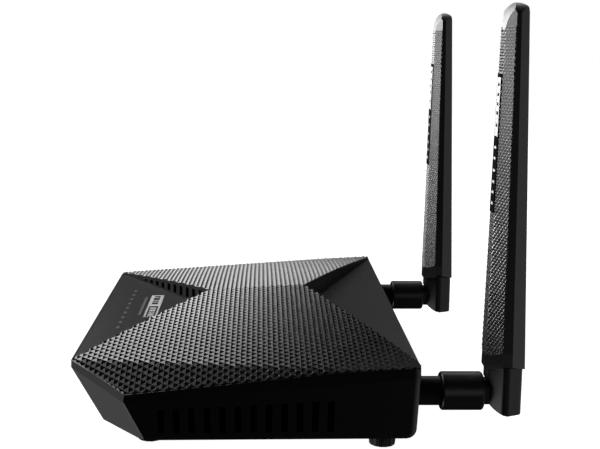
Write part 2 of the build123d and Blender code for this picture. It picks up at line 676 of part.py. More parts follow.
def blade_face(x, z, grow):
    """Blade section at a height, grown or shrunk by an even margin."""
    half = outline_at(z)
    points = half + [mirrored(p) for p in reversed(half)]
    face = make_face(Polyline(*points, close=True))
    if grow:
        face = offset(face, amount=grow, kind=Kind.INTERSECTION)
    return Pos(x, 0, z) * face


def blade(x, low, high, grow):
    return loft([blade_face(x, low, grow).face(), blade_face(x, high, grow).face()], ruled=True)


def cap_limit(x, inset):
    """Rounded limits of the blade's tip: a curved nose from the side and an arch from the front."""
    foot, top = BLADE_Z[0] - 10, BLADE_Z[1] - inset
    nose_z = BLADE_Z[1] - TIP_NOSE_RISE
    nose_r, rear_r, arch_r = TIP_NOSE_R - inset, TIP_REAR_R - inset, TIP_ARCH_R - inset
    sweep_angle = math.degrees(math.asin((TIP_NOSE_RISE - inset) / nose_r))
    nose = CenterArc((outline_at(nose_z)[0][1] + TIP_NOSE_R, nose_z), nose_r, 180, -sweep_angle)
    back = outline_at(BLADE_Z[1])[3][1] - inset
    rear = CenterArc((back - rear_r, top - rear_r), rear_r, 90, -90)
    below = Polyline(rear @ 1, (120, top - rear_r), (120, foot), (80, foot), (80, nose_z), nose @ 0)
    side = make_face([nose, Line(nose @ 1, rear @ 0), rear, below])
    half_sweep = math.degrees(math.acos(1 - TIP_ARCH_RISE / TIP_ARCH_R))
    arch = CenterArc((0, BLADE_Z[1] - TIP_ARCH_R), arch_r, 90 - half_sweep, 2 * half_sweep)
    low_z = (arch @ 0).Y
    below = Polyline(arch @ 1, (-30, low_z), (-30, foot), (30, foot), (30, low_z), arch @ 0)
    front = make_face([arch, below])
    seen_from_side = Pos(x, 0, 0) * extrude(Plane.YZ * side, 20, both=True)
    return seen_from_side & (Pos(x, 100, 0) * extrude(Plane.XZ * front, 30, both=True))


def above_arc(x, z):
    """Space above an arc seen from the front, lowest at the blade's middle."""
    top = BLADE_Z[1] + 10
    arc = CenterArc((0, z + FOOT_ARC_R), FOOT_ARC_R, 180, 180)
    face = make_face([arc, Polyline(arc @ 1, (FOOT_ARC_R, top), (-FOOT_ARC_R, top), arc @ 0)])
    return Pos(x, 100, 0) * extrude(Plane.XZ * face, 30, both=True)


def cover_split():
    """Plane between the blade's front and back covers, just behind its side corners."""
    low, high = LOW[1][1] + 0.5, HIGH[1][1] + 0.4
    return Plane(origin=(0, low, LOW_Z), z_dir=(0, 1, -(high - low) / (HIGH_Z - LOW_Z)))


def make_blade_shell(x):
    """Hollow blade, closed at its tip and open at its foot."""
    outer = blade(x, BLADE_Z[0], BLADE_Z[1], 0) & cap_limit(x, 0) & above_arc(x, BLADE_Z[0])
    inner = blade(x, BLADE_Z[0] - 1, BLADE_Z[1] - 1.6, -BLADE_WALL) & cap_limit(x, BLADE_WALL)
    return outer - inner


def make_knuckle(x):
    """Fork round the neck's tongue, with the smooth band and the spigot that carries the blade."""
    plan = KNUCKLE_PLAN + [mirrored(p) for p in reversed(KNUCKLE_PLAN)]
    outline = make_face(Polyline(*plan, close=True))
    outline = fillet(outline.vertices(), KNUCKLE_CORNER_R)
    column = Pos(x, 0, KNUCKLE_BOTTOM_Z) * extrude(outline, BAND_Z[1] - KNUCKLE_BOTTOM_Z)
    top_z, back_y = 40.0, 112.0
    foot = Polyline((103.9, KNUCKLE_BOTTOM_Z), (FOLD_Y, KNUCKLE_BOTTOM_Z))
    side = [Polyline(KNUCKLE_FRONT, (KNUCKLE_FRONT[0], top_z), (back_y, top_z),
                     (back_y, KNUCKLE_REAR[1]), KNUCKLE_REAR),
            ThreePointArc(KNUCKLE_REAR, (104.8, 12.5), foot @ 0), foot,
            ThreePointArc(foot @ 1, (95.0, 13.9), KNUCKLE_FRONT)]
    column = column & (Pos(x, 0, 0) * extrude(Plane.YZ * make_face(side), 20, both=True))
    band = blade(x, BAND_Z[0], BAND_Z[1] + SPIGOT, 0) & above_arc(x, BAND_Z[0])
    band = band - above_arc(x, BAND_Z[1])
    spigot = blade(x, BAND_Z[1] - 1, BAND_Z[1] + SPIGOT, -BLADE_WALL - 0.1)
    knuckle = column + band + spigot
    gap = NECK_HALF + 0.1
    slot_top = AXIS_Z + NECK_R + 0.15
    slot = block((x - gap, x + gap), (80, FOLD_Y + NECK_R), (0, slot_top))
    knuckle = knuckle - slot - rod(PIN_R, (x - PIN_REACH, FOLD_Y, AXIS_Z), (x + PIN_REACH, FOLD_Y, AXIS_Z))
    return knuckle - rod(1.2, (x, FOLD_Y, slot_top - 1), (x, FOLD_Y, BAND_Z[1] + SPIGOT + 1))


def make_radiator(x):
    """Printed antenna strip standing inside the blade."""
    return block((x - 4.0, x + 4.0), (98.6, 99.4), (BAND_Z[1] + 8.0, 150.0))


def make_radiator_lead(x):
    return rod(0.9, (x, FOLD_Y, AXIS_Z + NECK_R + 1.0), (x, FOLD_Y, BAND_Z[1] + 8.0))


def make_nameplate(x):
    """Blank plate along the blade's front strip."""
    faces = []
    for z in NAMEPLATE_Z:
        front = outline_at(z)[0][1]
        corners = [(-NAMEPLATE_HALF, front), (NAMEPLATE_HALF, front),
                   (NAMEPLATE_HALF, front - NAMEPLATE_PROUD), (-NAMEPLATE_HALF, front - NAMEPLATE_PROUD)]
        faces.append((Pos(x, 0, z) * make_face(Polyline(*corners, close=True))).face())
    return loft(faces, ruled=True)


# ---------------------------------------------------------------- assembly
nodes["top_cover"] = make_top_cover()
nodes["front_panel"] = make_front_panel()
nodes["badge"] = make_badge()
nodes["caption_strip"] = make_caption_strip()
nodes["light_guide"] = make_light_guide()
nodes["bottom_housing"] = make_bottom_housing()
nodes["rating_label"] = block((-30, 30), (28, 48), (FLOOR_Z - 0.15, FLOOR_Z))

nodes["main_board"] = make_board()
nodes["processor"] = on_board(*PROCESSOR)
nodes["thermal_pad"] = Pos(0, 0, PROCESSOR[4]) * on_board(*PROCESSOR[:4], THERMAL_PAD_THICK)
nodes["heat_sink"] = make_heat_sink(BOARD_TOP + PROCESSOR[4] + THERMAL_PAD_THICK)
nodes["shield_can"] = make_shield_can()
nodes["radio_chip"] = on_board(*RADIO_CHIP)
nodes["memory_chip"] = on_board(*MEMORY_CHIP)
nodes["status_leds"] = Compound([on_board(x, LED_ROW_Y + LED_SET_BACK, *LED_SIZE) for x in led_places()])
nodes["transformers"] = Compound([on_board(x, TRANSFORMER_Y, *TRANSFORMER_SIZE) for x in [WAN_X] + LAN_X])
nodes["capacitors"] = Compound([rod(radius, (x, y, BOARD_TOP), (x, y, BOARD_TOP + height))
                                for x, y, radius, height in CAPACITORS])
nodes["wan_jack"] = make_jack(WAN_X)
for number, place in enumerate(LAN_X, 1):
    nodes[f"lan_jack_{number}"] = make_jack(place)
nodes["jack_contacts"] = Compound([wire for x in [WAN_X] + LAN_X for wire in jack_contacts(x)])
nodes["power_jack"] = make_power_jack()
nodes["power_pin"] = make_power_pin()
nodes["tact_switch"] = make_tact_switch()
nodes["switch_plunger"] = make_plunger()
nodes["reset_button"] = make_reset_button()
nodes["board_screws"] = Compound([screw(x, y, BOARD_TOP, 2.6, 1.4, 1.2, FLOOR_Z + WALL, False)
                                  for x, y in STANDOFF_PLACES])
nodes["housing_screws"] = Compound([screw(x, y, 6.9, 2.8, 1.6, 1.5, 20.5, True) for x, y in POST_PLACES])
for place, (x, y) in FOOT_PLACES.items():
    nodes[f"foot_{place}"] = make_foot(x, y)

for side_name, side in (("right", 1), ("left", -1)):
    x = side * AXIS_X
    shell = make_blade_shell(x)
    nodes[f"sma_jack_{side_name}"] = make_sma_jack(x)
    nodes[f"pigtail_{side_name}"] = make_pigtail(side)
    nodes[f"sleeve_{side_name}"] = make_sleeve(x)
    nodes[f"neck_{side_name}"] = make_neck(x)
    nodes[f"fold_pin_{side_name}"] = make_fold_pin(x)
    nodes[f"knuckle_{side_name}"] = make_knuckle(x)
    nodes[f"blade_front_{side_name}"] = split(shell, bisect_by=cover_split(), keep=Keep.BOTTOM)
    nodes[f"blade_back_{side_name}"] = split(shell, bisect_by=cover_split(), keep=Keep.TOP)
    nodes[f"radiator_{side_name}"] = make_radiator(x)
    nodes[f"radiator_lead_{side_name}"] = make_radiator_lead(x)
    nodes[f"nameplate_{side_name}"] = make_nameplate(x)
nodes["sma_nuts"] = Compound([make_sma_nut(side * AXIS_X) for side in (1, -1)])
nodes["sma_washers"] = Compound([make_sma_washer(side * AXIS_X) for side in (1, -1)])

# The origin is the middle of the footprint, from the front edge to the back of the antenna band.
band_back_y = outline_at(BAND_Z[0])[3][1]
origin_y = (FRONT_Y + band_back_y) / 2
for name, shape in nodes.items():
    export_step(Pos(0, -origin_y, 0) * shape, f"parts/{name}.step")
print("origin_y", round(origin_y, 4))
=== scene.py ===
"""Looks of the desktop wireless router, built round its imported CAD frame.

+X is the router's right, -Y its front, +Z up. Sizes below are in millimetres, with Y = 0 at the middle
of the housing's depth, as the housing was designed. place() turns them into the frame's metres. Sizes
of lights and materials that aren't marked as millimetres are in metres.
"""
import math

import bmesh
import bpy
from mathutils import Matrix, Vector


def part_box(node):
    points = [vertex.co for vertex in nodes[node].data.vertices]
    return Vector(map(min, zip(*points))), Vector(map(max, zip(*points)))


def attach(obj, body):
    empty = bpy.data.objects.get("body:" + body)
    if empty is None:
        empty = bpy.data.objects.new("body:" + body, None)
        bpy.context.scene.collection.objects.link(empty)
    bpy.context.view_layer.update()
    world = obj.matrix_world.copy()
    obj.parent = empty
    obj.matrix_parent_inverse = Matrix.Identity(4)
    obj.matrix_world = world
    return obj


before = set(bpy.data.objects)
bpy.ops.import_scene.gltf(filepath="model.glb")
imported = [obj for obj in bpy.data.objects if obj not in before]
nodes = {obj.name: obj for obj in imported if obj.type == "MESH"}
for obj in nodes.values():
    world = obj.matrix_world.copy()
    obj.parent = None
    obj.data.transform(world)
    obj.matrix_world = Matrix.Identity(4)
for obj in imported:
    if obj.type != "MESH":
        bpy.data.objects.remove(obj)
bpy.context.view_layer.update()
scene = bpy.context.scene

MM = 0.001
HOUSING_FRONT = -64.5
SHIFT_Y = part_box("top_cover")[0].y / MM - HOUSING_FRONT    # housing's middle in the frame
AXIS_X = (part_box("sleeve_right")[0].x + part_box("sleeve_right")[1].x) / 2 / MM


def place(x, y, z):
    """A point of the housing's design, in the frame, in metres."""
    return Vector((x * MM, (y + SHIFT_Y) * MM, z * MM))


# ---------------------------------------------------------------- camera
CAMERA_PLACE = place(443.2, 7.7, 150.3)
CAMERA_PITCH = 10.256        # degrees below level
LENS = 61.15
SENSOR_WIDTH = 36.0
SHIFT_X = 0.064
CLIP_START, CLIP_END = 0.01, 20.0


def make_camera():
    """Camera at the router's right, looking along -X."""
    camera = bpy.data.cameras.new("camera")
    camera.lens = LENS
    camera.sensor_width = SENSOR_WIDTH
    camera.shift_x = SHIFT_X
    camera.clip_start = CLIP_START
    camera.clip_end = CLIP_END
    holder = bpy.data.objects.new("camera", camera)
    scene.collection.objects.link(holder)
    holder.location = CAMERA_PLACE
    holder.rotation_euler = (math.radians(90 - CAMERA_PITCH), 0, math.radians(90))
    scene.camera = holder


# ---------------------------------------------------------------- stage and light
FLOOR_GLOW = 1.0
FLOOR_COLOUR = (0.6, 0.6, 0.6, 1)
FLOOR_REACH = 6.0
WHITE = (1, 1, 1, 1)
# Softboxes round the router: turn is in degrees from straight behind, -X, towards the front, -Y.
SOFTBOXES = {
    # name: (turn, elevation, width, height, radiance)
    "back_key": (37, 39, 0.60, 0.62, 5.2),
    "front_key": (64, 43, 0.68, 0.54, 4.6),
    "front_fill": (95, 40, 0.60, 0.50, 0.1),
    "back_fill": (-19, 39, 0.50, 0.50, 1.5),
    "low_card": (72, 24, 0.80, 0.50, 3.0),
}
# Boxes that light the blades alone, and one that lights the sleeves, necks and knuckles alone.
BLADE_BOXES = {
    "blade_key": (30, 13, 0.60, 0.68, 12.0),
    "blade_side": (88, 28, 0.60, 0.50, 2.5),
}
JOINT_BOXES = {
    "joint_fill": (190, 6, 0.90, 0.60, 0.5),
}
LIGHT_DISTANCE = 1.4
AIM = Vector((0, 0, 0.03))
# Card close behind the antennas, for the tips of their blades: middle, width, height, radiance.
NEAR_CARD = (place(-250, -35, 215), 0.23, 0.17, 1.5)
NEAR_CARD_FACING = Vector((-1, 0, 0))
# World's glow as a reflection sees it: direction, dot product where it starts and is full, strength.
FRONT_GLOW = ((0.02, -0.84, -0.54), 0.80, 1.0, 2.6)
REAR_GLOW = ((0.10, 0.95, -0.30), 0.46, 1.0, 0.42)
DIM_WORLD = 0.010


def add_card(name, where, facing_away, width, height, radiance):
    """Rectangular light; facing_away points from what it lights towards the card."""
    light = bpy.data.lights.new(name, "AREA")
    light.shape = "RECTANGLE"
    light.size = width
    light.size_y = height
    light.energy = radiance * math.pi * width * height
    holder = bpy.data.objects.new(name, light)
    scene.collection.objects.link(holder)
    holder.location = where
    holder.rotation_euler = facing_away.to_track_quat("Z", "Y").to_euler()
    holder.visible_camera = False
    return holder


def place_boxes(boxes):
    """Softboxes at one distance from the router; returns their objects."""
    holders = []
    for name, (turn, elevation, width, height, radiance) in boxes.items():
        turn = math.radians(turn)
        elevation = math.radians(elevation)
        level = math.cos(elevation)
        direction = Vector((-math.cos(turn) * level, -math.sin(turn) * level, math.sin(elevation)))
        where = AIM + direction * LIGHT_DISTANCE
        holders.append(add_card(name, where, direction, width, height, radiance))
    return holders


def place_near_card():
    """The card close behind the antennas."""
    where, width, height, radiance = NEAR_CARD
    return add_card("near_card", where, NEAR_CARD_FACING, width, height, radiance)


def light_only(lights, pieces, name):
    """Makes lights shine on the given pieces and on nothing else."""
    receivers = bpy.data.collections.new(name)
    for piece in pieces:
        receivers.objects.link(piece)
    for light in lights:
        light.light_linking.receiver_collection = receivers


def make_world():
    """White to the camera; in reflections and as light it is dim, with a glow before and behind."""
    world = bpy.data.worlds.new("studio")
    world.use_nodes = True
    scene.world = world
    tree = world.node_tree
    tree.nodes.clear()
    output = tree.nodes.new("ShaderNodeOutputWorld")
    mix = tree.nodes.new("ShaderNodeMixShader")
    seen = tree.nodes.new("ShaderNodeBackground")
    seen.inputs["Strength"].default_value = 1.0
    seen.inputs["Color"].default_value = WHITE
    cast = tree.nodes.new("ShaderNodeBackground")
    cast.inputs["Color"].default_value = WHITE
    path = tree.nodes.new("ShaderNodeLightPath")
    where = tree.nodes.new("ShaderNodeTexCoord")
    glow = None
    for direction, start, full, strength in (FRONT_GLOW, REAR_GLOW):
        toward = tree.nodes.new("ShaderNodeVectorMath")
        toward.operation = "DOT_PRODUCT"
        toward.inputs[1].default_value = direction
        ramp = tree.nodes.new("ShaderNodeMapRange")
        ramp.interpolation_type = "SMOOTHSTEP"
        ramp.inputs["From Min"].default_value = start
        ramp.inputs["From Max"].default_value = full
        ramp.inputs["To Max"].default_value = strength
        add = tree.nodes.new("ShaderNodeMath")
        add.operation = "ADD"
        add.inputs[1].default_value = DIM_WORLD
        tree.links.new(where.outputs["Generated"], toward.inputs[0])
        tree.links.new(toward.outputs["Value"], ramp.inputs["Value"])
        tree.links.new(ramp.outputs["Result"], add.inputs[0])
        if glow is not None:
            tree.links.new(glow, add.inputs[1])
        glow = add.outputs[0]
    tree.links.new(glow, cast.inputs["Strength"])
    tree.links.new(path.outputs["Is Camera Ray"], mix.inputs[0])
    tree.links.new(cast.outputs[0], mix.inputs[1])
    tree.links.new(seen.outputs[0], mix.inputs[2])
    tree.links.new(mix.outputs[0], output.inputs["Surface"])


def make_floor():
    """Pale glowing plane, seen by the camera and left out of light and reflections."""
    mesh = bpy.data.meshes.new("floor")
    corners = [(-FLOOR_REACH, -FLOOR_REACH, 0), (FLOOR_REACH, -FLOOR_REACH, 0),
               (FLOOR_REACH, FLOOR_REACH, 0), (-FLOOR_REACH, FLOOR_REACH, 0)]
    mesh.from_pydata(corners, [], [(0, 1, 2, 3)])
    floor = bpy.data.objects.new("floor", mesh)
    scene.collection.objects.link(floor)
    material = bpy.data.materials.new("floor")
    material.use_nodes = True
    tree = material.node_tree
    tree.nodes.clear()
    output = tree.nodes.new("ShaderNodeOutputMaterial")
    add = tree.nodes.new("ShaderNodeAddShader")
    glow = tree.nodes.new("ShaderNodeEmission")
    glow.inputs["Color"].default_value = WHITE
    glow.inputs["Strength"].default_value = FLOOR_GLOW
    matt = tree.nodes.new("ShaderNodeBsdfDiffuse")
    matt.inputs["Color"].default_value = FLOOR_COLOUR
    tree.links.new(glow.outputs[0], add.inputs[0])
    tree.links.new(matt.outputs[0], add.inputs[1])
    tree.links.new(add.outputs[0], output.inputs["Surface"])
    mesh.materials.append(material)
    floor.visible_glossy = False
    floor.visible_diffuse = False


# ---------------------------------------------------------------- materials
MOULDED_ROUGHNESS_SPREAD = (-0.015, 0.02)
METAL_ROUGHNESS_SPREAD = (-0.05, 0.10)
GLOSSY_ROUGHNESS_SPREAD = (-0.03, 0.05)
FLOW_SCALE = 60.0            # scales of noise, in cells per metre
SHEEN_SCALE = 220.0
MARK_SCALE = 900.0
HANDLING_SCALE = 500.0
MOTTLE_SCALE = 350.0
METAL_MARK_DEPTH = 0.003     # depths of bump, in millimetres
GLOSSY_MOTTLE_DEPTH = 0.004
METAL_DARKER = 0.88          # a mark on metal, as a share of its colour


def shader_tree(name):
    """A new material, the tree that its nodes are in, and its principled shader."""
    material = bpy.data.materials.new(name)
    material.use_nodes = True
    tree = material.node_tree
    shader = tree.nodes["Principled BSDF"]
    return material, tree, shader


def noise(tree, scale, detail=3.0):
    """Noise over the object's own coordinates."""
    where = tree.nodes.new("ShaderNodeTexCoord")
    texture = tree.nodes.new("ShaderNodeTexNoise")
    texture.inputs["Scale"].default_value = scale
    texture.inputs["Detail"].default_value = detail
    tree.links.new(where.outputs["Object"], texture.inputs["Vector"])
    return texture.outputs["Fac"]


def spread(tree, value, low, high):
    """Maps noise, most of which lies from 0.3 to 0.7, onto a range."""
    remap = tree.nodes.new("ShaderNodeMapRange")
    remap.inputs["From Min"].default_value = 0.3
    remap.inputs["From Max"].default_value = 0.7
    remap.inputs["To Min"].default_value = low
    remap.inputs["To Max"].default_value = high
    tree.links.new(value, remap.inputs["Value"])
    return remap.outputs["Result"]


def tint(tree, value, dark, light):
    """A colour between two, chosen by a 0 to 1 value."""
    mix = tree.nodes.new("ShaderNodeMix")
    mix.data_type = "RGBA"
    mix.inputs["A"].default_value = dark + (1.0,)
    mix.inputs["B"].default_value = light + (1.0,)
    tree.links.new(value, mix.inputs["Factor"])
    return mix.outputs["Result"]


def bump(tree, shader, height, depth):
    """Bump of a given depth in metres."""
    node = tree.nodes.new("ShaderNodeBump")
    node.inputs["Strength"].default_value = 1.0
    node.inputs["Distance"].default_value = depth
    tree.links.new(height, node.inputs["Height"])
    tree.links.new(node.outputs["Normal"], shader.inputs["Normal"])


def moulded(name, colour, roughness, grain_mm=0.25, grain_depth_mm=0.006, vary=0.25, specular=0.5):
    """Moulded plastic: fine spark grain, uneven sheen, faint flow marks in its colour."""
    material, tree, shader = shader_tree(name)
    grain = noise(tree, 1 / (grain_mm * MM), detail=2.0)
    flow = noise(tree, FLOW_SCALE, detail=2.0)
    smoother, rougher = MOULDED_ROUGHNESS_SPREAD
    dark = tuple(c * (1 - vary) for c in colour)
    light = tuple(c * (1 + vary) for c in colour)
    tree.links.new(tint(tree, flow, dark, light), shader.inputs["Base Color"])
    sheen = spread(tree, noise(tree, SHEEN_SCALE), roughness + smoother, roughness + rougher)
    tree.links.new(sheen, shader.inputs["Roughness"])
    shader.inputs["Specular IOR Level"].default_value = specular
    bump(tree, shader, grain, grain_depth_mm * MM)
    return material


def metal(name, colour, roughness, extra_depth_mm=0.0):
    """Plated or bare metal with fine handling marks."""
    material, tree, shader = shader_tree(name)
    shader.inputs["Metallic"].default_value = 1.0
    marks = noise(tree, MARK_SCALE, detail=4.0)
    dark = tuple(c * METAL_DARKER for c in colour)
    tree.links.new(tint(tree, marks, dark, colour), shader.inputs["Base Color"])
    smoother, rougher = METAL_ROUGHNESS_SPREAD
    sheen = spread(tree, noise(tree, HANDLING_SCALE), roughness + smoother, roughness + rougher)
    tree.links.new(sheen, shader.inputs["Roughness"])
    bump(tree, shader, marks, (METAL_MARK_DEPTH + extra_depth_mm) * MM)
    return material


def glossy(name, colour, roughness, vary=0.1, transmission=0.0):
    """Smooth hard material, such as solder mask, a lens or a chip's marking face."""
    material, tree, shader = shader_tree(name)
    mottle = noise(tree, MOTTLE_SCALE)
    dark = tuple(c * (1 - vary) for c in colour)
    tree.links.new(tint(tree, mottle, dark, colour), shader.inputs["Base Color"])
    smoother, rougher = GLOSSY_ROUGHNESS_SPREAD
    sheen = spread(tree, mottle, roughness + smoother, roughness + rougher)
    tree.links.new(sheen, shader.inputs["Roughness"])
    shader.inputs["Transmission Weight"].default_value = transmission
    bump(tree, shader, mottle, GLOSSY_MOTTLE_DEPTH * MM)
    return material


BLACK = (0.012, 0.012, 0.013)
MATERIALS = {
    "cover": moulded("cover_plastic", BLACK, 0.42, grain_depth_mm=0.001, vary=0.1),
    "skin": moulded("cover_texture", BLACK, 0.24, grain_depth_mm=0.002, specular=0.9),
    "housing": moulded("housing_plastic", (0.006, 0.006, 0.0065), 0.42, grain_depth_mm=0.004),
    "panel": moulded("panel_plastic", (0.020, 0.020, 0.021), 0.42, grain_depth_mm=0.001, vary=0.05),
    "print": moulded("white_print", (0.88, 0.88, 0.88), 0.50, vary=0.05),
    "caption": moulded("grey_print", (0.16, 0.16, 0.16), 0.50, vary=0.05),
    "light_pipe": glossy("light_pipe", (0.30, 0.30, 0.31), 0.30, transmission=0.2),
    "label": moulded("label_stock", (0.55, 0.55, 0.55), 0.60, vary=0.04),
    "laminate": glossy("circuit_laminate", (0.015, 0.10, 0.04), 0.35, vary=0.3),
    "chip": moulded("chip_plastic", (0.015, 0.015, 0.016), 0.55),
    "pad": moulded("thermal_pad", (0.40, 0.45, 0.50), 0.70),
    "heat_sink": metal("heat_sink_metal", (0.62, 0.62, 0.64), 0.38, extra_depth_mm=0.004),
    "shield": metal("shield_metal", (0.66, 0.65, 0.62), 0.30),
    "led": glossy("led_body", (0.85, 0.84, 0.78), 0.25, transmission=0.3),
    "can": metal("capacitor_can", (0.55, 0.56, 0.60), 0.30),
    "wan": moulded("wan_plastic", (0.02, 0.08, 0.30), 0.42),
    "lan": moulded("lan_plastic", (0.014, 0.014, 0.014), 0.42),
    "gold": metal("contact_gold", (0.85, 0.62, 0.22), 0.22),
    "steel": metal("plated_steel", (0.58, 0.58, 0.57), 0.32),
    "button": moulded("button_plastic", (0.02, 0.02, 0.021), 0.40),
    "brass": metal("connector_brass", (0.80, 0.60, 0.26), 0.28),
    "jacket": moulded("cable_jacket", (0.016, 0.016, 0.016), 0.50),
    "rubber": moulded("foot_rubber", (0.012, 0.012, 0.012), 0.62, grain_depth_mm=0.01),
    "joint": moulded("joint_plastic", BLACK, 0.36),
    "blade": moulded("blade_plastic", BLACK, 0.36, grain_depth_mm=0.002, vary=0.1),
    "knurl": moulded("knurled_plastic", BLACK, 0.26, grain_depth_mm=0.001, vary=0.1, specular=0.8),
    "plate_print": moulded("plate_print", (0.55, 0.55, 0.55), 0.45, grain_depth_mm=0.001, vary=0.05),
}
NODE_LOOKS = {
    "cover": ["top_cover"],
    "housing": ["bottom_housing"],
    "panel": ["front_panel"],
    "print": ["badge"],
    "caption": ["caption_strip"],
    "light_pipe": ["light_guide"],
    "label": ["rating_label"],
    "laminate": ["main_board", "radiator_left", "radiator_right"],
    "chip": ["processor", "radio_chip", "memory_chip", "transformers", "tact_switch", "power_jack"],
    "pad": ["thermal_pad"],
    "heat_sink": ["heat_sink"],
    "shield": ["shield_can"],
    "led": ["status_leds"],
    "can": ["capacitors"],
    "wan": ["wan_jack"],
    "lan": ["lan_jack_1", "lan_jack_2", "lan_jack_3", "lan_jack_4"],
    "gold": ["jack_contacts"],
    "steel": ["power_pin", "board_screws", "housing_screws", "fold_pin_left", "fold_pin_right"],
    "button": ["reset_button", "switch_plunger"],
    "brass": ["sma_jack_left", "sma_jack_right", "sma_nuts", "sma_washers"],
    "jacket": ["pigtail_left", "pigtail_right", "radiator_lead_left", "radiator_lead_right"],
    "rubber": ["foot_front_left", "foot_front_right", "foot_rear_left", "foot_rear_right"],
    "joint": ["sleeve_left", "sleeve_right", "neck_left", "neck_right", "knuckle_left", "knuckle_right"],
    "blade": ["blade_front_left", "blade_front_right", "blade_back_left", "blade_back_right",
              "nameplate_left", "nameplate_right"],
}


def dress_nodes():
    """Gives every CAD node its material."""
    for look, names in NODE_LOOKS.items():
        for name in names:
            mesh = nodes[name].data
            mesh.materials.clear()
            mesh.materials.append(MATERIALS[look])


# ---------------------------------------------------------------- meshes
# Meshes are made in the housing's millimetres, and make_object() turns them into metres.
CUT_TOLERANCE = 1e-5
MERGE_DISTANCE = 0.01


def pyramid_sheet(columns, rows, half_x, half_y, peak):
    """Flat sheet of four-sided pyramids on a diamond lattice; z holds the height."""
    mesh = bmesh.new()
    grid = {}
    for i in columns:
        for j in rows:
            grid[i, j] = mesh.verts.new((i * half_x, j * half_y, peak if (i + j) % 2 == 0 else 0.0))
    for (i, j), vert in grid.items():
        around = [(i + 1, j), (i, j + 1), (i - 1, j), (i, j - 1)]
        if (i + j) % 2 == 0 and all(key in grid for key in around):
            for a, b in zip(around, around[1:] + around[:1]):
                mesh.faces.new((vert, grid[a], grid[b]))
    return mesh


def cut_along(mesh, start, end, remove):
    """Cuts a mesh along a line seen from above, and removes what lies on its right if asked."""
    normal = Vector((end[1] - start[1], start[0] - end[0], 0))
    bmesh.ops.bisect_plane(mesh, geom=mesh.verts[:] + mesh.edges[:] + mesh.faces[:], dist=CUT_TOLERANCE,
                           plane_co=(start[0], start[1], 0), plane_no=normal, clear_outer=remove)


def mirror_across(mesh):
    """Adds a mesh's mirror image across x = 0 and joins the two."""
    copy = bmesh.ops.duplicate(mesh, geom=mesh.verts[:] + mesh.edges[:] + mesh.faces[:])["geom"]
    for vert in [g for g in copy if isinstance(g, bmesh.types.BMVert)]:
        vert.co.x *= -1
    bmesh.ops.reverse_faces(mesh, faces=[g for g in copy if isinstance(g, bmesh.types.BMFace)])
    bmesh.ops.remove_doubles(mesh, verts=mesh.verts[:], dist=MERGE_DISTANCE)


def close_skin(mesh, underside):
    """Makes an open skin a closed solid: a copy of it at underside(point), walled to its border."""
    bmesh.ops.recalc_face_normals(mesh, faces=mesh.faces[:])
    borders = [e for e in mesh.edges if e.is_boundary]
    copy = bmesh.ops.duplicate(mesh, geom=mesh.verts[:] + mesh.edges[:] + mesh.faces[:])
    twins = copy["vert_map"]
    for vert in [g for g in copy["geom"] if isinstance(g, bmesh.types.BMVert)]:
        vert.co = underside(vert.co)
    bmesh.ops.reverse_faces(mesh, faces=[g for g in copy["geom"] if isinstance(g, bmesh.types.BMFace)])
    for edge in borders:
        a, b = edge.verts
        mesh.faces.new((a, b, twins[b], twins[a]))


def make_object(mesh, name, centre_x=0.0):
    """Turns a mesh in the housing's millimetres into an object in the frame."""
    bmesh.ops.recalc_face_normals(mesh, faces=mesh.faces[:])
    for vert in mesh.verts:
        vert.co = place(vert.co.x + centre_x, vert.co.y, vert.co.z)
    data = bpy.data.meshes.new(name)
    mesh.to_mesh(data)
    mesh.free()
    piece = bpy.data.objects.new(name, data)
    scene.collection.objects.link(piece)
    return piece


# ---------------------------------------------------------------- pyramids on the cover
RIDGE_Z = 41.15              # crown's height at x = 0, y = 0, and how it falls and rises from there
CROWN_SLOPE = 0.058
CROWN_CURVE = 0.00043
CROWN_RISE = 0.0515
TIP = (73.2, HOUSING_FRONT)
SHOULDER = (95.1, -41.9, 25.1)
CREASE_END = (94.7, 40.7)
FRONT_APEX_Y = -15.5
REAR_APEX_Y = 26.5
REAR_TIP = (92.2, 65.0)
SIDE_EDGE = 94.6
# Right half of the textured surface, a little inside the cover's edges.
TEXTURE_OUTLINE = [(0, FRONT_APEX_Y), (TIP[0] - 0.2, TIP[1] + 0.5), (SIDE_EDGE, SHOULDER[1] + 0.2),
                   (SIDE_EDGE, REAR_TIP[1] - 0.4), (REAR_TIP[0] - 1.0, REAR_TIP[1] - 0.4),
                   (0, REAR_APEX_Y)]
SHEET_REACH_X, SHEET_REACH_Y = 100, 70      # pyramids are laid this far, and then cut to the outline
PYRAMID_CELL = (3.30, 4.02)  # full diagonals of one pyramid's base
PYRAMID = 0.75
SKIN_LIFT = 0.03
SKIRT = 0.5


def crown_z(x, y):
    """Height of the gently arched part of the top."""
    return RIDGE_Z - CROWN_SLOPE * abs(x) - CROWN_CURVE * x * x + CROWN_RISE * y


def facet_plane():
    """Point and normal of the steep facet beside a shoulder."""
    tip = Vector(TIP + (crown_z(*TIP),))
    shoulder = Vector(SHOULDER)
    crease = Vector(CREASE_END + (crown_z(*CREASE_END),))
    return tip, (shoulder - tip).cross(crease - tip).normalized()


FACET_POINT, FACET_NORMAL = facet_plane()


def cover_z(x, y):
    """Height of the cover's textured surface."""
    reach = FACET_NORMAL.x * (abs(x) - FACET_POINT.x) + FACET_NORMAL.y * (y - FACET_POINT.y)
    return min(crown_z(x, y), FACET_POINT.z - reach / FACET_NORMAL.z)


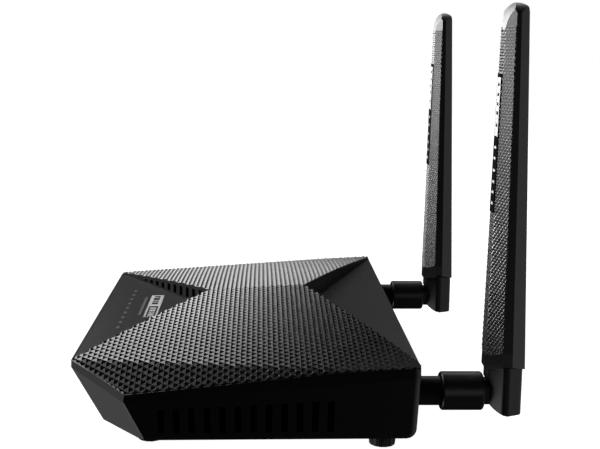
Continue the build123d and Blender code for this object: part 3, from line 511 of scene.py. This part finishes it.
def make_cover_texture():
    """Pyramids on a diamond lattice over the cover's bow-tie shaped surface, with a skirt below."""
    half_x, half_y = PYRAMID_CELL[0] / 2, PYRAMID_CELL[1] / 2
    columns = range(-1, int(SHEET_REACH_X / half_x) + 1)
    rows = range(int(-SHEET_REACH_Y / half_y), int(SHEET_REACH_Y / half_y) + 1)
    mesh = pyramid_sheet(columns, rows, half_x, half_y, PYRAMID)
    for vert in mesh.verts:
        vert.co.z += cover_z(vert.co.x, vert.co.y) + SKIN_LIFT
    for start, end in zip(TEXTURE_OUTLINE, TEXTURE_OUTLINE[1:] + TEXTURE_OUTLINE[:1]):
        cut_along(mesh, start, end, True)
    mirror_across(mesh)
    close_skin(mesh, lambda co: Vector((co.x, co.y, cover_z(co.x, co.y) - SKIRT)))
    return make_object(mesh, "cover_texture")


# ---------------------------------------------------------------- knurl on the antennas
LOW_Z, HIGH_Z = 34.0, 155.0
LOW = [(3.5, 91.5), (13.5, 95.6)]          # front strip's edge and side corner, at the two heights
HIGH = [(3.0, 93.9), (9.5, 96.2)]
KNURL_FOOT = 34.7            # at the blade's middle; its lower edge is an arc that rises to the sides
FOOT_ARC_R = 27.0
# Points of that arc: distance from the middle round the blade's surface, and distance straight across.
FOOT_ARC = [(0, 0), (4, 4), (7.5, 7.2), (11, 10.5), (15, 14.2)]
KNURL_TOP = (154.9, 158.7)   # its upper edge, at the strip's edge and at the flank's outer edge
KNURL_CELL = (1.85, 2.15)    # full diagonals of one diamond, across and up
KNURL_DEPTH = 0.32
KNURL_LIFT = 0.02
KNURL_SUNK = 0.7             # how far its rear lies inside the blade
KNURL_EDGE = 0.3             # left plain beside the flank's outer edge
PLATE_GAP = (87.9, 138.9)    # left plain on the strip, behind the nameplate
BEYOND_FLANK = 20            # further out than any part of a flank
ON_EDGE = 0.01               # a point this near the strip's edge is on it


def section(z):
    """Front strip's edge and the flank's outer corner at a height."""
    t = (z - LOW_Z) / (HIGH_Z - LOW_Z)
    return Vector(LOW[0]).lerp(Vector(HIGH[0]), t), Vector(LOW[1]).lerp(Vector(HIGH[1]), t)


def knurl_point(reach, z, lift):
    """Point on the blade, by its distance from the middle of the front strip round to the flank."""
    inner, outer = section(z)
    along = (outer - inner).normalized()
    out = Vector((along.y, -along.x))
    if reach < inner.x - ON_EDGE:
        flat = Vector((reach, inner.y - lift))
    elif reach > inner.x + ON_EDGE:
        flat = inner + along * (reach - inner.x) + out * lift
    else:
        flat = inner + (out + Vector((0, -1))).normalized() * lift
    return Vector((flat.x, flat.y, z))


def make_knurl(antenna, centre_x):
    """Diamond knurl over the front strip and both flanks of one blade."""
    half_x, half_y = KNURL_CELL[0] / 2, KNURL_CELL[1] / 2
    strip_top, flank_top = KNURL_TOP
    (low_inner, low_outer), (high_inner, high_outer) = section(KNURL_FOOT), section(flank_top)
    reach_low = low_inner.x + (low_outer - low_inner).length - KNURL_EDGE
    reach_high = high_inner.x + (high_outer - high_inner).length - KNURL_EDGE
    columns = range(-2, int(reach_low / half_x) + 3)
    rows = range(int(KNURL_FOOT / half_y) - 2, int(flank_top / half_y) + 3)
    mesh = pyramid_sheet(columns, rows, half_x, half_y, KNURL_DEPTH)
    foot = [(reach, KNURL_FOOT + FOOT_ARC_R - math.sqrt(FOOT_ARC_R ** 2 - across ** 2))
            for reach, across in FOOT_ARC]
    for left, right in zip(foot, foot[1:]):
        cut_along(mesh, left, right, True)
    cut_along(mesh, (reach_low, KNURL_FOOT), (reach_high, flank_top), True)
    cut_along(mesh, (reach_high, flank_top), (high_inner.x, strip_top), True)
    cut_along(mesh, (high_inner.x, strip_top), (0, strip_top), True)
    cut_along(mesh, (0, flank_top), (0, KNURL_FOOT), True)
    cut_along(mesh, (low_inner.x, KNURL_FOOT), (high_inner.x, flank_top), False)
    for gap_z in PLATE_GAP:
        cut_along(mesh, (0, gap_z), (BEYOND_FLANK, gap_z), False)
    behind_plate = []
    for face in mesh.faces:
        middle = face.calc_center_median()
        if PLATE_GAP[0] < middle.y < PLATE_GAP[1] and middle.x < section(middle.y)[0].x:
            behind_plate.append(face)
    bmesh.ops.delete(mesh, geom=behind_plate, context="FACES")
    for vert in mesh.verts:
        vert.co = knurl_point(vert.co.x, vert.co.y, vert.co.z + KNURL_LIFT)
    mirror_across(mesh)
    close_skin(mesh, lambda co: Vector((co.x, co.y + KNURL_SUNK, co.z)))
    return make_object(mesh, f"knurl_{antenna}", centre_x)


# ---------------------------------------------------------------- printed marks
PANEL_Z = 31.2               # front panel's height at its front edge, and how it rises to the rear
PANEL_SLOPE = 0.021
BADGE_PROUD = 0.15           # badge's print above the panel
BADGE_Y = -41.0
BADGE_HALF_DEPTH = 1.4       # of the bars on it
BADGE_GAP = 1.3
BADGE_DARK = (-22.2, (2.4, 3.4, 2.0, 3.0))     # dark bars on its light half: start in x, widths
BADGE_LIGHT = (-1.6, (2.2, 3.2, 2.0, 2.4))     # light bars on its open half
PLATE_PROUD = 0.45
PLATE_FIELD = (116.0, 137.2)         # light half of a nameplate
PLATE_FIELD_X = (1.3, 2.5)           # its side strips, out from the middle
PLATE_MARKS = [120.0, 124.4, 127.6, 131.0, 134.6]              # gaps in it
PLATE_MARK_HALF = 0.55
PLATE_BARS = [91.5, 95.6, 99.4, 103.6, 108.0, 112.0]           # light bars on the dark half
PLATE_BAR_HALF = (1.5, 0.5)
MARK_SUNK = 0.03             # foot of a mark below its surface
MARK_PROUD = 0.05


def on_panel(x, y, lift):
    """Point above the front panel."""
    return Vector((x, y, PANEL_Z + PANEL_SLOPE * (y - HOUSING_FRONT) + lift))


def on_plate(x, z, lift):
    """Point before a nameplate's face; x is from its middle."""
    return Vector((x, section(z)[0].y - PLATE_PROUD - lift, z))


def make_marks(name, rectangles, locate, low, high, centre_x=0.0):
    """Thin bars with sloping sides, each on a rectangle of the surface that locate() describes."""
    mesh = bmesh.new()
    slope = (high - low) / 2
    for u0, u1, v0, v1 in rectangles:
        outer = [(u0, v0), (u1, v0), (u1, v1), (u0, v1)]
        inner = [(u0 + slope, v0 + slope), (u1 - slope, v0 + slope),
                 (u1 - slope, v1 - slope), (u0 + slope, v1 - slope)]
        base = [mesh.verts.new(locate(u, v, low)) for u, v in outer]
        top = [mesh.verts.new(locate(u, v, high)) for u, v in inner]
        mesh.faces.new(base)
        mesh.faces.new(top)
        for i in range(4):
            mesh.faces.new((base[i], base[i - 1], top[i - 1], top[i]))
    return make_object(mesh, name, centre_x)


def badge_bars(x, widths):
    """Upright bars of several widths side by side across the badge, as generic marks."""
    bars = []
    for width in widths:
        bars.append((x, x + width, BADGE_Y - BADGE_HALF_DEPTH, BADGE_Y + BADGE_HALF_DEPTH))
        x += width + BADGE_GAP
    return bars


def plate_bars():
    """Light half of a nameplate, as side strips and rungs, and the light bars on its dark half."""
    low, high = PLATE_FIELD
    inner, outer = PLATE_FIELD_X
    bars = [(-outer, -inner, low, high), (inner, outer, low, high)]
    gaps = [z + side for z in PLATE_MARKS for side in (-PLATE_MARK_HALF, PLATE_MARK_HALF)]
    edges = [low] + gaps + [high]
    for start, end in zip(edges[0::2], edges[1::2]):
        bars.append((-inner, inner, start, end))
    half_x, half_z = PLATE_BAR_HALF
    bars += [(-half_x, half_x, z - half_z, z + half_z) for z in PLATE_BARS]
    return bars


# ---------------------------------------------------------------- assembly
def finish_piece(piece, look, body):
    """Gives a piece its material and the body that it rides on."""
    piece.data.materials.append(MATERIALS[look])
    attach(piece, body)
    return piece


def make_badge_marks():
    """Dark bars on the badge's light half, and light bars on its open half."""
    dark = make_marks("badge_marks_dark", badge_bars(*BADGE_DARK), on_panel,
                      BADGE_PROUD - MARK_SUNK, BADGE_PROUD + MARK_PROUD)
    finish_piece(dark, "blade", "housing")
    light = make_marks("badge_marks_light", badge_bars(*BADGE_LIGHT), on_panel, -MARK_SUNK, BADGE_PROUD)
    finish_piece(light, "print", "housing")


def make_antenna_pieces(antenna, centre_x):
    """Knurl and nameplate marks of one antenna; returns all that its blade shows."""
    body = f"antenna_{antenna}"
    knurl = finish_piece(make_knurl(antenna, centre_x), "knurl", body)
    marks = make_marks(f"plate_print_{antenna}", plate_bars(), on_plate,
                       -MARK_SUNK, MARK_PROUD, centre_x)
    finish_piece(marks, "plate_print", body)
    return [nodes[f"blade_front_{antenna}"], nodes[f"blade_back_{antenna}"], knurl, marks]


make_camera()
make_world()
place_boxes(SOFTBOXES)
make_floor()
dress_nodes()
scene.view_settings.view_transform = "Standard"

finish_piece(make_cover_texture(), "skin", "housing")
blade_pieces = make_antenna_pieces("right", AXIS_X) + make_antenna_pieces("left", -AXIS_X)
make_badge_marks()
joint_pieces = [nodes[name] for name in NODE_LOOKS["joint"]]
light_only(place_boxes(BLADE_BOXES) + [place_near_card()], blade_pieces, "blades")
light_only(place_boxes(JOINT_BOXES), joint_pieces, "joints")
